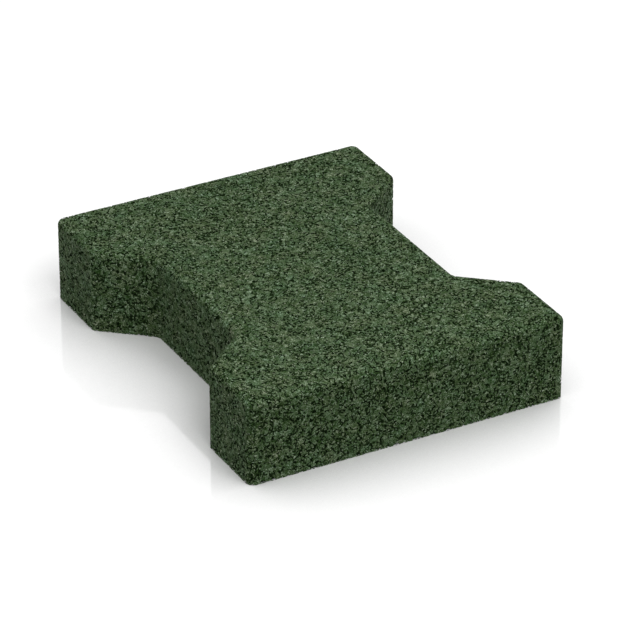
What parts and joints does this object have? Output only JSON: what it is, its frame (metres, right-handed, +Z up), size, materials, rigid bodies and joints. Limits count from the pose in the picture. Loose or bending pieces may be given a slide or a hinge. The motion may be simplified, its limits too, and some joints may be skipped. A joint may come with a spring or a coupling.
{
  "type": "rubber interlocking paver",
  "caption": "Double-T paving block of pressed rubber granulate, with slanted shoulders at its waist that interlock with the blocks beside it.",
  "frame": {"origin": "centre of the underside, on the ground", "axes": "+Z up through the walking face, +Y along the block from head to head, +X across the heads"},
  "size_m": [0.165, 0.2, 0.043],
  "materials": {
    "rubber_granulate": "matt, open-grained bound granulate, dark green"
  },
  "bodies": {
    "root": {"paver": "rubber_granulate"}
  },
  "joints": []
}
